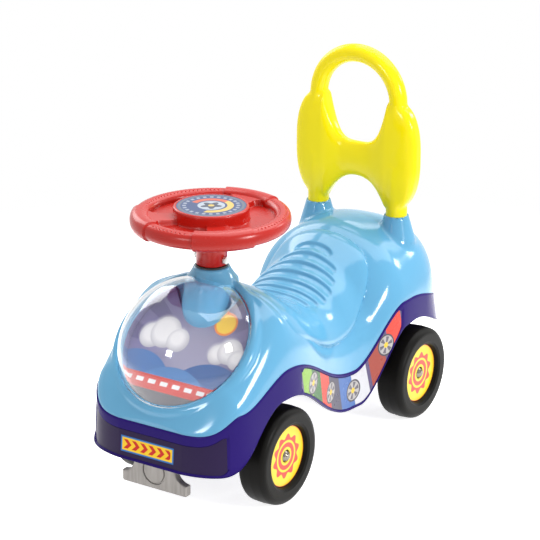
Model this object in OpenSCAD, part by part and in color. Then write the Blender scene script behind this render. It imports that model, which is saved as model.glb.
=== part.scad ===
/* [Wheels] */
// Diameter over the tyre
wheel_d = 112; // [106:1:116]
// Width of a tyre
wheel_w = 34; // [30:1:36]
// Distance between the front and rear axles
wheel_base = 291; // [287:1:295]
// Distance over the outer faces of the wheels
track_w = 207; // [204:1:210]
// Diameter of the printed disc in each wheel
disc_d = 69; // [62:1:74]
// Depth of the disc below the outer face of the tyre
disc_inset = 6; // [4:0.5:8]
// Diameter of the steel axles
axle_d = 8; // [6:0.5:9]
// Diameter of the push-on cap at each axle end
cap_d = 13; // [11:0.5:15]
// Outer diameter of the hub of a wheel
hub_d = 24; // [20:1:28]
// Thickness of the washer beside each hub
washer_t = 2; // [1.5:0.5:3]

/* [Body] */
// Overall length over the bumper and the tail lip
body_l = 525; // [518:1:536]
// Width just behind the bumper corners
nose_w = 188; // [182:1:194]
// Width over the front wheels
hood_w = 206; // [202:1:210]
// Width at the waist below the seat
waist_w = 160; // [150:1:166]
// Width over the rear wheels
haunch_w = 194; // [188:1:200]
// Width that the rounded tail is drawn from
tail_w = 176; // [170:1:184]
// Length of the rounded front corners
nose_round = 60; // [50:1:70]
// Length of the rounded tail
tail_round = 95; // [85:1:105]
// Wall of the moulded shells
wall = 3; // [2.4:0.2:3.6]
// Overhang of the tail lip behind the upper shell
tail_lip = 8; // [6:0.5:10]

/* [Seam] */
// Height of the colour seam at the bumper
seam_nose = 111; // [107:1:115]
// Height of the seam at the front corners
seam_corner = 133; // [129:1:137]
// Height of the seam over the front wheels
seam_front = 160; // [156:1:164]
// Height of the seam at the waist
seam_waist = 97; // [95:1:101]
// Height of the seam over the rear wheels
seam_back = 157; // [153:1:161]
// Height of the seam at the tail
seam_tail = 127; // [124:1:131]
// Gap between the two shells along the seam
seam_gap = 0.3; // [0.2:0.1:0.5]

/* [Skirt] */
// Height of the lower edge under the bumper
skirt_nose = 54; // [50:1:58]
// Height of the lower edge over the front wheels
skirt_front = 123; // [120:1:126]
// Height of the lower edge at the waist
skirt_waist = 55; // [51:1:59]
// Height of the lower edge over the rear wheels
skirt_back = 122; // [119:1:125]
// Height of the lower edge at the tail
skirt_tail = 82; // [78:1:86]
// Lean of the bumper's lower edge ahead of its top
nose_draft = 4; // [2:0.5:6]
// Depth of the panels sunk for the labels
panel_depth = 1.4; // [1:0.1:1.8]
// Height of the bead above and below the panels
bead_h = 6; // [5:0.5:8]

/* [Seat] */
// Top of the hood behind the window
hood_h = 243; // [239:1:247]
// Lowest point of the seat
seat_h = 190; // [186:1:194]
// Top of the hump behind the seat
hump_h = 240; // [236:1:244]
// Number of grip grooves across the seat
groove_count = 9; // [6:1:10]
// Distance between grip grooves
groove_pitch = 14; // [12:0.5:15]
// Length of the longest grip groove
groove_l = 104; // [94:1:110]
// Depth of the grip grooves
groove_depth = 1.8; // [1.2:0.1:2]

/* [Window] */
// Radius of the clear dome
dome_r = 85.4; // [84:0.2:87]
// Radius of the dome at its base
dome_base_r = 79.6; // [78:0.2:80.4]
// Distance of the dome's base ahead of the column, along the ground
dome_reach = 55; // [53:0.5:57]
// Height of the middle of the dome's base
dome_z = 189; // [187:0.5:191]
// Tilt of the dome's base from level
dome_tilt = 45.4; // [44:0.2:47]
// Thickness of the clear dome
dome_t = 2.2; // [1.8:0.2:2.6]
// Width of the rim around the dome
rim_w = 9; // [7:0.5:10]
// Depth of the picture card behind the dome's base
card_depth = 13; // [11:0.5:15]

/* [Steering] */
// Outer diameter of the steering wheel
steer_d = 174; // [168:1:180]
// Diameter of the wheel's rim tube
steer_tube = 18.4; // [17:0.2:20]
// Height of the middle of the rim above the collar
steer_rise = 51.5; // [50:0.5:56]
// Diameter of the raised hub
steer_hub_d = 83; // [78:1:88]
// Diameter of the round hub label
hub_label_d = 76; // [70:1:77]
// Angle of the two front spokes from straight ahead
spoke_spread = 44; // [40:1:60]
// Angle that a grip on the rim covers
grip_angle = 46; // [40:1:54]
// Diameter of the sleeve under the wheel
sleeve_d = 34.6; // [32:0.2:36]
// Diameter of the steel column
column_d = 14; // [12:0.5:16]
// Height of the top of the column's collar above the hood
collar_rise = 19; // [17:0.5:21]
// Radius of the column housing inside the window
housing_r = 31; // [29:0.5:32]

/* [Handle] */
// Distance between the two legs
leg_span = 108.8; // [104:0.2:112]
// Diameter of a leg
leg_d = 25.4; // [24:0.2:27]
// Distance of the handle behind the rear axle
handle_back = 12; // [9:0.5:15]
// Top of the sockets
socket_z = 244.5; // [242:0.5:247]
// Depth of the sockets
socket_depth = 40; // [36:0.5:42]
// Top of the loop
handle_z = 443; // [439:0.5:448]
// Diameter of the loop's tube
loop_tube = 21.4; // [20:0.2:23]
// Half height of the bar between the lobes
bar_h = 21; // [19:0.5:23]
// Half thickness of the bar
bar_t = 9.5; // [8.5:0.5:11]
// Half height of a lobe
lobe_h = 64; // [62:0.5:66]
// Half thickness of a lobe
lobe_t = 13.5; // [12:0.5:15]

/* [Plough] */
// Width of the plough
plough_w = 86; // [80:1:92]
// Thickness of the plough
plough_t = 9; // [7:0.5:10]
// Height of the plough's lower edge
plough_z = 35; // [33:0.5:38]
// Half width of the plough's neck
plough_neck = 27; // [24:0.5:30]
// Height of the ears at the plough's lower corners
ear_h = 13; // [11:0.5:15]

/* [Fits] */
// Radial clearance of a turning shaft
run_clear = 0.05; // [0.03:0.01:0.08]
// Clearance of pieces that sit in or beside each other
sit_clear = 0.25; // [0.2:0.05:0.35]
// Diameter of the body screws
screw_d = 4; // [3.5:0.5:4.5]

/* [Hidden] */
$fn = 72;
wheel_r = wheel_d / 2;
front_y = -body_l / 2;
tail_y = body_l / 2 - tail_lip;
axle_y = wheel_base / 2;
waist_y = 24;
seat_y = -18;
hump_y = 115;
crest_y = -axle_y - 2;
arch_start_y = front_y - 21;
corner_y = front_y + 34;
hood_corner = 3.2;
stations = 64;
inner_points = 11;
groove_mid_y = 5;
leg_x = leg_span / 2;
handle_y = axle_y + handle_back;
collar_z = hood_h + collar_rise;
steer_z = collar_z + steer_rise;
lobe_z = handle_z - 127;
bar_z = handle_z - 138.5;
lobe_reach = 28.5;
plough_bolt_x = 16;
housing_foot_z = dome_z - 4;
loop_z = handle_z - leg_x - loop_tube / 2;
hub_in = track_w / 2 - wheel_w - 4;
saddle_out = hub_in - washer_t - 2 * sit_clear;
saddle_t = 12;
deck_z = 128;
deck_mid_z = 82;
deck_front_z = 92;
deck_tail_z = 104;
screw_head_d = 2 * screw_d;
screw_head_h = 2.4;
rod_top = steer_z - 4;
bolt_d = 5;
bolt_z = collar_z + 7;
bolt_turn = -2;
collar_r = 20;
collar_h = 15;
rim_round = 7;
bush_flange = 2;
panel_back_y = 126;
panel_front_y = -116;
bumper_panel_y = front_y + 24;
dome_y = -axle_y - dome_reach;
front_post_x = hood_w * 0.3;
waist_post_x = waist_w * 0.26;
rear_post_x = leg_x * 0.67;
post_reach = wheel_base * 0.175;
posts = [[front_post_x, -axle_y + post_reach], [waist_post_x, waist_y + 6],
    [rear_post_x, axle_y + post_reach]];

// Curves of the body
function ease(a, b, s) = a + (b - a) * s * s * (3 - 2 * s);
function wave(t, p, i = 0) =
    p <= t[0][0] ? t[0][1]
    : i > len(t) - 2 ? t[len(t) - 1][1]
    : p <= t[i + 1][0] ? ease(t[i][1], t[i + 1][1], (p - t[i][0]) / (t[i + 1][0] - t[i][0]))
    : wave(t, p, i + 1);
function fall(s, n) = pow(max(0, 1 - pow(min(1, max(0, s)), n)), 1 / n);
function slope(f, y) = f(y + 0.5) - f(y - 0.5);

width_line = [[front_y, nose_w / 2], [-axle_y, hood_w / 2], [waist_y - 12, waist_w / 2],
    [hump_y, haunch_w / 2], [tail_y, tail_w / 2]];
seam_line = [[front_y, seam_nose], [corner_y, seam_corner], [crest_y + 8, seam_front],
    [waist_y, seam_waist], [hump_y, seam_back], [tail_y, seam_tail]];
skirt_line = [[arch_start_y, skirt_nose], [crest_y, skirt_front], [waist_y - 19, skirt_waist],
    [waist_y + 6, skirt_waist], [axle_y - 15, skirt_back], [tail_y, skirt_tail]];
round_line = [[front_y + 12, 2], [crest_y, 2.6], [seat_y, 2.5],
    [waist_y - 4, 2.4], [hump_y - 55, 1.75], [hump_y, 1.85], [axle_y + 35, 2.4]];

half_w = function (y) wave(width_line, y)
    * fall((front_y + nose_round - y) / (nose_round + 1.5), hood_corner)
    * fall((y - tail_y + tail_round) / (tail_round + 1), 2);
seam = function (y) wave(seam_line, y);
skirt = function (y) wave(skirt_line, y);
ridge = function (y)
    y < crest_y ? seam(y) + 5 + (hood_h - seam(y) - 5) * fall((crest_y - y) / (crest_y - front_y), 1.1)
    : y < seat_y ? ease(hood_h, seat_h, (y - crest_y) / (seat_y - crest_y))
    : y < hump_y ? ease(seat_h, hump_h, (y - seat_y) / (hump_y - seat_y))
    : seam(y) + 5 + (hump_h - seam(y) - 5) * fall((y - hump_y) / (tail_y - hump_y), 2.2);

// Height of the skin at a place on the plan
function skin_z(x, y) = seam(y) + (ridge(y) - seam(y)) * fall(abs(x) / half_w(y), wave(round_line, y));

function arch(y, w, z0, z1, count) = [for (j = [0:count])
    let (a = 180 * j / count, n = 2 / wave(round_line, y), c = cos(a))
    [w * sign(c) * pow(abs(c), n), y, z0 + (z1 - z0) * pow(abs(sin(a)), n)]];
function station_y(i) = front_y + (tail_y - front_y) * (1 - cos(180 * i / stations)) / 2;

// Plan outline of the body, once round from the front left corner
plan = concat(
    [for (i = [0:stations]) [half_w(station_y(i)), station_y(i)]],
    [for (i = [stations:-1:0]) [-half_w(station_y(i)), station_y(i)]]);
function plan_at(k) = plan[(k + len(plan)) % len(plan)];
function plan_normal(k) = let (t = plan_at(k + 1) - plan_at(k - 1)) [t[1], -t[0]] / norm(t);
function plan_in(d) = [for (k = [0:len(plan) - 1]) plan[k] - d * plan_normal(k)];

// Solid through a row of rings with equal numbers of points
module skin(rings, loop = false, cap = []) {
    n = len(rings);
    m = len(rings[0]);
    end = len(cap) > 0 ? cap : [[for (j = [0:m - 1]) j]];
    sides = [for (i = [0:loop ? n - 1 : n - 2], j = [0:m - 1])
        let (a = i * m + j, b = i * m + (j + 1) % m, e = (i + 1) % n * m)
        each [[a, b, e + (j + 1) % m], [a, e + (j + 1) % m, e + j]]];
    front = [for (f = end) [for (j = [len(f) - 1:-1:0]) f[j]]];
    back = [for (f = end) [for (j = f) (n - 1) * m + j]];
    polyhedron([for (r = rings) each r], loop ? sides : concat(sides, front, back), convexity = 10);
}

// Places on the tilted base of the dome
module at_dome() translate([0, dome_y, dome_z]) rotate([dome_tilt, 0, 0]) children();

module along_x() rotate([0, 90, 0]) children();

module at_column() translate([0, -axle_y, 0]) children();

// Upper shell
module body_shell() {
    w_in = function (y) max(0.4 * half_w(y), half_w(y) - wall * sqrt(1 + pow(slope(half_w, y), 2)));
    z_in = function (y) max(seam(y) + 0.5, ridge(y) - wall * sqrt(1 + pow(slope(ridge, y), 2)));
    k = inner_points;
    cap = [for (j = [0:k - 1]) let (a = 3 * k + 1 - j)
        each [[a, 2 * j, 2 * j + 1], [a, 2 * j + 1, 2 * j + 2], [a, 2 * j + 2, a - 1]]];
    skin([for (i = [0:stations]) let (y = station_y(i), inner = arch(y, w_in(y), seam(y), z_in(y), k))
        concat(arch(y, half_w(y), seam(y), ridge(y), 2 * k), [for (j = [k:-1:0]) inner[j]])], cap = cap);
}

module dome_cup() {
    foot = -card_depth - wall;
    at_dome() rotate_extrude() polygon([[0, foot], [dome_base_r + rim_w - 4, foot],
        for (a = [0:15:90])
            [dome_base_r + rim_w + rim_round * (cos(a) - 1), 0.5 + rim_round * (sin(a) - 1)],
        [dome_base_r + 1.5, 0.5], [dome_base_r + sit_clear, -0.4],
        [dome_base_r + sit_clear, -2.6 - sit_clear],
        [dome_base_r - 4, -2.6 - sit_clear], [dome_base_r - 4, -card_depth], [0, -card_depth]]);
}

module column_housing() {
    top = collar_z - bush_flange - sit_clear;
    base = top - collar_h;
    at_column() rotate_extrude() polygon([[column_d / 2 + 3, housing_foot_z],
        [housing_r, housing_foot_z], [housing_r, base],
        for (t = [0.2:0.2:1]) [collar_r + (housing_r - collar_r) * pow(1 - t, 1.3), base + collar_h * t],
        [column_d / 2 + 3, top]]);
}

module socket(x) {
    foot = socket_z - socket_depth - 4;
    profile = [[0, foot], [24, foot], [23, foot + 14], [leg_d / 2 + 1.9, socket_z - 1],
        [leg_d / 2 + 1, socket_z], [0, socket_z]];
    translate([x, handle_y, 0]) rotate_extrude() polygon(profile);
}

// One grip groove, cut along the skin and shallow at its ends
module seat_groove(i) {
    off = (i - (groove_count - 1) / 2) * groove_pitch;
    w = groove_l / 2 * sqrt(1 - pow(off / (groove_count * groove_pitch / 2 + 1), 2));
    skin([for (d = [[-0.4, 0], [-0.2, 1], [0.2, 1], [0.4, 0]])
        let (y = groove_mid_y + off + d[0] * groove_pitch) concat(
            [for (s = [-1:0.2:1]) [s * w, y,
                skin_z(s * w, y) + 0.6 - (0.6 + groove_depth) * d[1] * fall(abs(s), 4)]],
            [[w, y, skin_z(0, y) + 12], [-w, y, skin_z(0, y) + 12]])]);
}

module upper_body() color("skyblue") difference() {
    union() {
        difference() {
            body_shell();
            at_dome() translate([0, 0, -card_depth - 1]) cylinder(r = dome_base_r + 3, h = 80);
        }
        dome_cup();
        column_housing();
        for (s = [-1, 1]) {
            socket(s * leg_x);
            for (p = posts) translate([s * p[0], p[1], post_foot(p[1])])
                cylinder(d = screw_d + 8, h = skin_z(p[0] + 6, p[1]) - post_foot(p[1]) - 1);
        }
    }
    for (i = [0:groove_count - 1]) seat_groove(i);
    at_column() translate([0, 0, 150]) cylinder(r = column_d / 2 + 3, h = 150);
    for (s = [-1, 1]) {
        translate([s * leg_x, handle_y, socket_z - socket_depth])
            cylinder(d = leg_d + 2 * sit_clear, h = socket_depth + 20);
        for (p = posts) translate([s * p[0], p[1], post_foot(p[1]) - 1]) cylinder(d = screw_d + 0.1, h = 18);
    }
}

// Lower shell: skirt, bumper and deck
deck_path = [[front_y + 1, deck_front_z], [front_y + 53, deck_front_z], [front_y + 56, deck_z],
    [crest_y + 68, deck_z], [-36, 104], [2, deck_mid_z], [56, deck_mid_z], [84, deck_z],
    [axle_y + 67, deck_z], [axle_y + 84, deck_tail_z], [tail_y - 1, deck_tail_z]];
function deck_at(y, i = 0) = y <= deck_path[i + 1][0]
    ? deck_path[i][1] + (deck_path[i + 1][1] - deck_path[i][1])
        * (y - deck_path[i][0]) / (deck_path[i + 1][0] - deck_path[i][0])
    : deck_at(y, i + 1);
function post_foot(y) = deck_at(y) + wall + sit_clear;

function panel(y) = y < bumper_panel_y || (y > panel_front_y && y < panel_back_y) ? 1 : 0;
function flare(y) = tail_lip * ease(0, 1, max(0, min(1, (y - tail_y + tail_round) / (tail_round - 25))))
    + nose_draft * ease(0, 1, max(0, min(1, (front_y + 20 - y) / nose_round + 1)));
function skirt_ring(k) = let (p = plan_at(k), q = plan_normal(k), y = p[1], z0 = skirt(y),
    z1 = seam(y) - seam_gap, sunk = panel_depth * panel(y), f = flare(y))
    [for (r = [[f - wall, z0], [f, z0], [f + 1.5, z0 + 1.5], [0.7 * f + 1.5, z0 + bead_h],
        [0.6 * f + 1.5 - sunk, z0 + bead_h + 1.5], [1.5 - sunk, z1 - bead_h - 1.5], [1.5, z1 - bead_h],
        [1.5, z1 - 2], [0, z1], [-wall, seam(y - wall * q[1]) - seam_gap]])
        [p[0] + r[0] * q[0], p[1] + r[0] * q[1], r[1]]];

// Unit normal of a stretch of the deck's path, and the path moved by the wall with mitred corners
function deck_normal(i) = let (t = deck_path[i + 1] - deck_path[i]) [-t[1], t[0]] / norm(t);
deck_last = len(deck_path) - 1;
deck_top = [for (i = [0:deck_last])
    let (a = deck_normal(max(0, i - 1)), b = deck_normal(min(deck_last - 1, i)))
    deck_path[i] + wall * (a + b) / (1 + a * b)];

module deck() intersection() {
    translate([0, 0, skirt_waist]) linear_extrude(seam_front) polygon(plan_in(wall / 2));
    rotate([90, 0, 90]) translate([0, 0, -hood_w / 2]) linear_extrude(hood_w)
        polygon(concat(deck_path, [for (i = [deck_last:-1:0]) deck_top[i]]));
}

module lower_body() color("darkslateblue") difference() {
    union() {
        skin([for (k = [0:len(plan) - 1]) skirt_ring(k)], true);
        deck();
        at_column() translate([0, 0, deck_z]) cylinder(d = column_d + 16, h = 16);
    }
    at_column() translate([0, 0, deck_z - 1]) cylinder(d = column_d + 6 + 2 * sit_clear, h = 30);
    for (s = [-1, 1]) {
        for (p = posts) translate([s * p[0], p[1], deck_at(p[1]) - 5]) cylinder(d = screw_d + 0.4, h = 15);
        for (e = [-1, 1], f = [-1, 1]) translate([s * saddle_x, e * axle_y + f * saddle_bolt, deck_z - 1])
            cylinder(d = screw_d + 0.4, h = 10);
        translate([s * plough_bolt_x, plough_bolt_y, deck_front_z - 1]) cylinder(d = screw_d + 0.4, h = 10);
    }
}

// Clear dome and the card behind it
module dome_window() color("white", 0.3) difference() {
    sink = sqrt(dome_r * dome_r - dome_base_r * dome_base_r);
    at_dome() rotate_extrude() polygon(concat(
        [for (a = [0:3:90]) let (b = a + (1 - a / 90) * asin(sink / dome_r))
            [dome_r * cos(b), dome_r * sin(b) - sink]],
        [for (a = [90:-3:0]) let (r = dome_r - dome_t, b = a + (1 - a / 90) * asin(sink / r))
            [r * cos(b), r * sin(b) - sink]],
        [[dome_base_r - dome_t - 1.5, 0], [dome_base_r - dome_t - 1.5, -2.6], [dome_base_r, -2.6]]));
    at_column() translate([0, 0, 100]) cylinder(r = housing_r + sit_clear, h = 200);
}

module dome_card() color("lightsteelblue") difference() {
    at_dome() translate([0, 0, -card_depth + 0.05]) difference() {
        cylinder(r = dome_base_r - 4.4, h = card_depth - 3.2);
        translate([0, 0, 0.8]) cylinder(r = dome_base_r - 5.2, h = card_depth);
    }
    at_column() translate([0, 0, 100]) cylinder(r = housing_r + sit_clear, h = 200);
}

// Steering wheel and its column
module spoke_shape(reach) polygon([[20, -12], [reach, -15], [reach, 15], [20, 12]]);

module steering_wheel() color("crimson") at_column() difference() {
    tube_r = steer_tube / 2;
    rim_r = steer_d / 2 - tube_r;
    web_z = steer_z - 3;
    hub_z = steer_z + 15;
    union() {
        translate([0, 0, steer_z]) rotate_extrude() translate([rim_r, 0]) circle(tube_r);
        rotate_extrude() polygon([[0, web_z - 4], [rim_r, web_z - 1], [rim_r, web_z + 2.5],
            [steer_hub_d / 2 + 1, web_z], [steer_hub_d / 2, web_z + 2], [steer_hub_d / 2 - 0.5, hub_z - 1.5],
            [steer_hub_d / 2 - 2, hub_z], [hub_label_d / 2 + 0.3, hub_z], [hub_label_d / 2 + 0.3, hub_z - 1],
            [0, hub_z - 1]]);
        for (a = [90, -90 - spoke_spread, -90 + spoke_spread]) rotate(a) {
            translate([0, 0, web_z - 3]) linear_extrude(12) spoke_shape(rim_r);
            translate([0, 0, steer_z]) rotate(-grip_angle / 2) rotate_extrude(angle = grip_angle)
                translate([rim_r, 0]) circle(tube_r + 1.2);
        }
        translate([0, 0, collar_z + sit_clear]) cylinder(d = sleeve_d, h = web_z - collar_z);
    }
    translate([0, 0, collar_z - 1]) cylinder(d = column_d + 0.1, h = rod_top - collar_z + 1.2);
    translate([0, 0, bolt_z]) rotate(bolt_turn) along_x() cylinder(d = bolt_d + 0.1, h = 60, center = true);
}

module hub_label() color("royalblue") at_column() translate([0, 0, steer_z + 14.05])
    cylinder(d = hub_label_d, h = 0.6);

module column_rod() color("silver") at_column() difference() {
    translate([0, 0, deck_z - 14]) cylinder(d = column_d, h = rod_top - deck_z + 14);
    translate([0, 0, bolt_z]) rotate(bolt_turn) along_x() cylinder(d = bolt_d + 0.1, h = 60, center = true);
    translate([0, 0, deck_z - 10]) rotate_extrude() translate([column_d / 2 - 1.5, 0]) square([10, 2.2]);
}

module column_bolt() color("gray") at_column() translate([0, 0, bolt_z]) rotate(bolt_turn) along_x() {
    translate([0, 0, -sleeve_d / 2 - 1]) cylinder(d = bolt_d, h = sleeve_d + 4.5);
    translate([0, 0, -sleeve_d / 2 - 3.4]) cylinder(d = bolt_d + 4, h = 3.2);
}

module column_nut() color("gray") at_column() translate([0, 0, bolt_z]) rotate(bolt_turn) along_x()
    translate([0, 0, sleeve_d / 2 + 0.2]) difference() {
        cylinder(d = bolt_d * 1.8, h = 3, $fn = 6);
        translate([0, 0, -1]) cylinder(d = bolt_d + 0.1, h = 5, $fn = 72);
    }

module upper_bush() color("black") at_column() difference() {
    union() {
        translate([0, 0, collar_z - bush_flange]) cylinder(r = collar_r - 2, h = bush_flange - sit_clear);
        translate([0, 0, collar_z - 30]) cylinder(r = column_d / 2 + 3 - sit_clear, h = 30 - bush_flange);
    }
    translate([0, 0, collar_z - 40]) cylinder(r = column_d / 2 + run_clear, h = 60);
}

module lower_bush() color("black") at_column() difference() {
    union() {
        translate([0, 0, deck_z - 3]) cylinder(d = column_d + 14, h = 3 - 0.05);
        translate([0, 0, deck_z - 3]) cylinder(d = column_d + 6, h = 19);
    }
    translate([0, 0, deck_z - 10]) cylinder(r = column_d / 2 + run_clear, h = 40);
}

module column_clip() color("silver") at_column() translate([0, 0, deck_z - 9.9]) difference() {
    cylinder(d = column_d + 9, h = 2);
    translate([0, 0, -1]) cylinder(d = column_d - 2.9, h = 4);
    translate([-column_d / 2 + 2.5, -column_d, -1]) cube([column_d - 5, column_d, 4]);
}

// Running gear
function rim_arc(r, a, q) = [for (t = [0:15:90]) [a + q * sin(t), r - q + q * cos(t)]];

// Half outline of a wheel as [distance from the inner face, radius]
wheel_outline = concat(
    [[-4, axle_d / 2 + run_clear], [-4, hub_d / 2], [wheel_w - disc_inset - 6, hub_d / 2 + 1],
        [wheel_w - disc_inset - 6, wheel_r - 15], [1, wheel_r - 13]],
    [for (t = [90:-15:0]) [6 - 6 * sin(t), wheel_r - 0.6 - 6 + 6 * cos(t)]], [[wheel_w / 2, wheel_r]],
    rim_arc(wheel_r - 0.6, wheel_w - 8, 8),
    [[wheel_w, disc_d / 2 + 5], [wheel_w - 1.5, disc_d / 2 + 2], [wheel_w - disc_inset, disc_d / 2 + 0.4],
        [wheel_w - disc_inset - 2.1, disc_d / 2 + 0.4],
        [wheel_w - disc_inset - 2.1, axle_d / 2 + run_clear]]);

module on_axle(side, end) translate([side * (track_w / 2 - wheel_w), end * axle_y, wheel_r])
    rotate([0, side * 90, 0]) children();

module road_wheel(side, end) color("dimgray") on_axle(side, end) rotate_extrude($fn = 96)
    polygon([for (p = wheel_outline) [p[1], p[0]]]);

module wheel_disc(side, end) color("gold") on_axle(side, end)
    translate([0, 0, wheel_w - disc_inset - 2.05]) difference() {
        cylinder(d = disc_d, h = 2);
        translate([0, 0, -1]) cylinder(d = cap_d + 2, h = 4);
    }

cap_seat = wheel_w - disc_inset - 2.1 + sit_clear;
module axle(end) color("silver") translate([0, end * axle_y, wheel_r]) along_x()
    cylinder(d = axle_d, h = track_w - 2 * (wheel_w - cap_seat) + 6, center = true);

module axle_caps(end) color("silver") for (side = [-1, 1]) on_axle(side, end) translate([0, 0, cap_seat])
    rotate_extrude() polygon([[axle_d / 2 + 0.02, 0], [cap_d / 2, 0], [cap_d / 2, 1.6],
        [cap_d / 2 - 1.5, 3.6], [axle_d / 2 - 1, 5], [0, 5.2], [0, 3.1], [axle_d / 2 + 0.02, 3.1]]);

module washers(end) color("lightgray") for (side = [-1, 1])
    translate([side * (saddle_out + sit_clear + washer_t / 2), end * axle_y, wheel_r])
        along_x() difference() {
            cylinder(d = hub_d - 4, h = washer_t, center = true);
            cylinder(r = axle_d / 2 + run_clear, h = washer_t + 2, center = true);
        }

saddle_x = saddle_out - saddle_t / 2;
saddle_bolt = 25;
saddle_foot = 5;
module saddles(end) color("midnightblue") for (side = [-1, 1])
    translate([side * saddle_x, end * axle_y, 0]) difference() {
        union() {
            translate([-saddle_t / 2, 0, 0]) rotate([90, 0, 90]) linear_extrude(saddle_t) polygon(concat(
                [for (a = [180:15:360]) [(axle_d / 2 + 8) * cos(a), wheel_r + (axle_d / 2 + 8) * sin(a)]],
                [[17, deck_z - 0.05 - saddle_foot], [17, deck_z - 0.05], [-17, deck_z - 0.05],
                    [-17, deck_z - 0.05 - saddle_foot]]));
            translate([-saddle_t / 2, -saddle_bolt - 8, deck_z - 0.05 - saddle_foot])
                cube([saddle_t, 2 * saddle_bolt + 16, saddle_foot]);
        }
        translate([0, 0, wheel_r]) along_x() cylinder(r = axle_d / 2 + run_clear, h = 40, center = true);
        for (f = [-1, 1]) translate([0, f * saddle_bolt, deck_z - 20]) cylinder(d = screw_d + 0.4, h = 30);
    }

// A round-headed screw that points up from its seat
module screw(length) {
    translate([0, 0, -1]) cylinder(d = screw_d, h = length + 1);
    translate([0, 0, -screw_head_h]) rotate_extrude() polygon([[0, 0], [screw_head_d / 2 - 1.4, 0],
        [screw_head_d / 2, 1.2], [screw_head_d / 2, screw_head_h - 0.05], [0, screw_head_h - 0.05]]);
}

module saddle_screws() color("silver") for (side = [-1, 1], e = [-1, 1], f = [-1, 1])
    translate([side * saddle_x, e * axle_y + f * saddle_bolt, deck_z - 0.05 - saddle_foot])
        screw(saddle_foot + wall + 1);

module body_screws() color("silver") for (side = [-1, 1], p = posts)
    translate([side * p[0], p[1], deck_at(p[1])]) screw(wall + 12);

// Plough under the bumper
plough_y = front_y + wall + 1;
plough_bolt_y = plough_y + plough_t + 9;
module plough() color("darkgray") difference() {
    top = deck_front_z - 0.05;
    notch_r = plough_w / 2 - plough_neck;
    union() {
        translate([0, plough_y + plough_t, 0]) rotate([90, 0, 0]) linear_extrude(plough_t) difference() {
            translate([-plough_w / 2, plough_z]) square([plough_w, top - plough_z]);
            for (s = [-1, 1]) translate([s * plough_w / 2, plough_z + ear_h + notch_r]) {
                circle(notch_r);
                translate([-notch_r, 0]) square([2 * notch_r, top]);
            }
        }
        translate([-plough_neck, plough_y, top - 4]) cube([2 * plough_neck, plough_t + 18, 4]);
    }
    translate([0, plough_y + 1.2, skirt_nose + 8]) rotate([90, 0, 0]) linear_extrude(5) difference() {
        circle(14.5);
        circle(13);
        translate([-20, 0]) square([40, 20]);
    }
    for (s = [-1, 1]) translate([s * plough_bolt_x, plough_bolt_y, top - 10])
        cylinder(d = screw_d + 0.4, h = 20);
}

module plough_screws() color("silver") for (s = [-1, 1])
    translate([s * plough_bolt_x, plough_bolt_y, deck_front_z - 4.1]) screw(4 + wall + 1);

// Push handle
function handle_ring(x) = let (
        m = ease(0, 1, max(0, min(1, (abs(x) - 16) / 30))),
        square = ease(0.8, 0.5, m),
        e = fall(max(0, (abs(x) - leg_x) / (lobe_reach + 0.5)), 2.2),
        rise = pow(min(1, abs(x) / (leg_x - loop_tube / 2)), 3.4),
        drop = pow(min(1, abs(x) / (leg_x - leg_d / 2)), 2.25),
        z0 = bar_z - bar_h + (lobe_z - lobe_h - bar_z + bar_h) * drop,
        z1 = bar_z + bar_h + (lobe_z + lobe_h - bar_z - bar_h) * rise,
        zc = (z0 + z1) / 2,
        hz = (z1 - z0) / 2 * e,
        hy = (bar_t + (lobe_t - bar_t) * m) * pow(e, 0.7))
    [for (a = [0:20:340]) [x, handle_y - max(0.2, hy) * sign(cos(a)) * pow(abs(cos(a)), square),
        zc + max(0.3, hz) * sign(sin(a)) * pow(abs(sin(a)), square)]];

module push_handle() color("yellow") {
    reach = leg_x + lobe_reach;
    foot = socket_z - socket_depth + 0.5;
    skin([for (i = [0:60]) handle_ring(reach * sin(-90 + 3 * i))]);
    for (s = [-1, 1]) translate([s * leg_x, handle_y, foot]) cylinder(d = leg_d, h = socket_depth + 20);
    for (s = [-1, 1]) translate([s * leg_x, handle_y, loop_z - 16]) cylinder(d = loop_tube, h = 16);
    translate([0, handle_y, loop_z]) rotate([90, 0, 0]) rotate_extrude(angle = 180)
        translate([leg_x, 0]) circle(d = loop_tube);
}

// Printed labels sunk in the skirt
function label_ring(k, low, high) = let (p = plan_at(k), q = plan_normal(k), y = p[1],
    z0 = skirt(y) + bead_h + 2, z1 = seam(y) - seam_gap - bead_h - 2,
    out = function (z) 1.5 - panel_depth + 0.6 * flare(y) * (z1 + 0.5 - z) / (z1 - z0 + 1))
    [for (r = [[0.1, low], [0.5, low], [0.5, high], [0.1, high]])
        let (z = z0 + (z1 - z0) * r[1]) [p[0] + (out(z) + r[0]) * q[0], p[1] + (out(z) + r[0]) * q[1], z]];
label_from = [for (i = [0:stations]) if (station_y(i) > panel_front_y + 8) i][0];
label_to = [for (i = [0:stations]) if (station_y(i) > panel_back_y - 8) i][0] - 1;
bumper_last = [for (i = [0:stations]) if (station_y(i) > bumper_panel_y - 4) i][0] - 1;

module left_label() color("tomato") skin([for (k = [label_from:label_to]) label_ring(k, 0, 1)]);

module right_label() color("tomato")
    skin([for (k = [len(plan) - 1 - label_to:len(plan) - 1 - label_from]) label_ring(k, 0, 1)]);

module bumper_label() color("indigo")
    skin([for (k = [-1 - bumper_last:bumper_last]) label_ring(k, 0, 1)]);

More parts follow.
